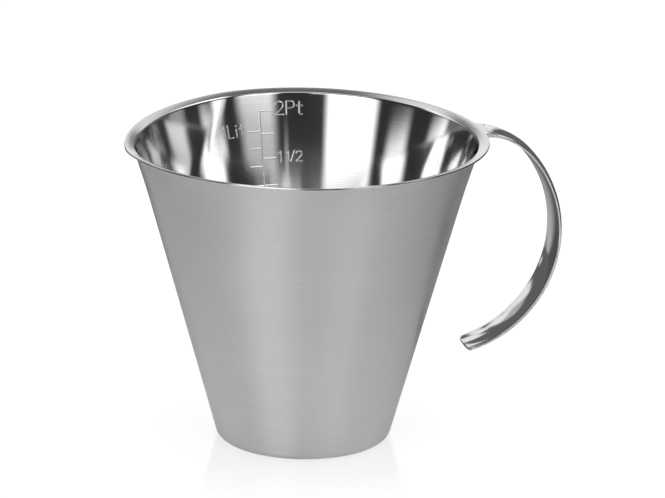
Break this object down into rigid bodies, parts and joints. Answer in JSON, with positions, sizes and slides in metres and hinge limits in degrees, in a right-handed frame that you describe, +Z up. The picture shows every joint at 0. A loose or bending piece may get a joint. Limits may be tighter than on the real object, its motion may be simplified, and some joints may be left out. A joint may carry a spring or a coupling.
{
  "type": "measuring jug",
  "caption": "Tapered stainless steel measuring jug with a turned-out pouring rim, a raised scale inside and an open strap handle welded to the rim.",
  "frame": {"origin": "centre of the flat underside, where the jug stands", "axes": "+Z up along the jug's axis, +X towards the handle, -X towards the pouring point, the scale on the +Y side"},
  "size_m": [0.19, 0.1546, 0.132],
  "materials": {
    "jug_steel": "satin brushed outside, brighter polish inside and on the rim",
    "strap_steel": "bright polished",
    "weld_steel": "ground flush and polished"
  },
  "bodies": {
    "root": {"jug_body": "jug_steel", "handle_strap": "strap_steel", "rim_weld": "weld_steel"}
  },
  "joints": []
}
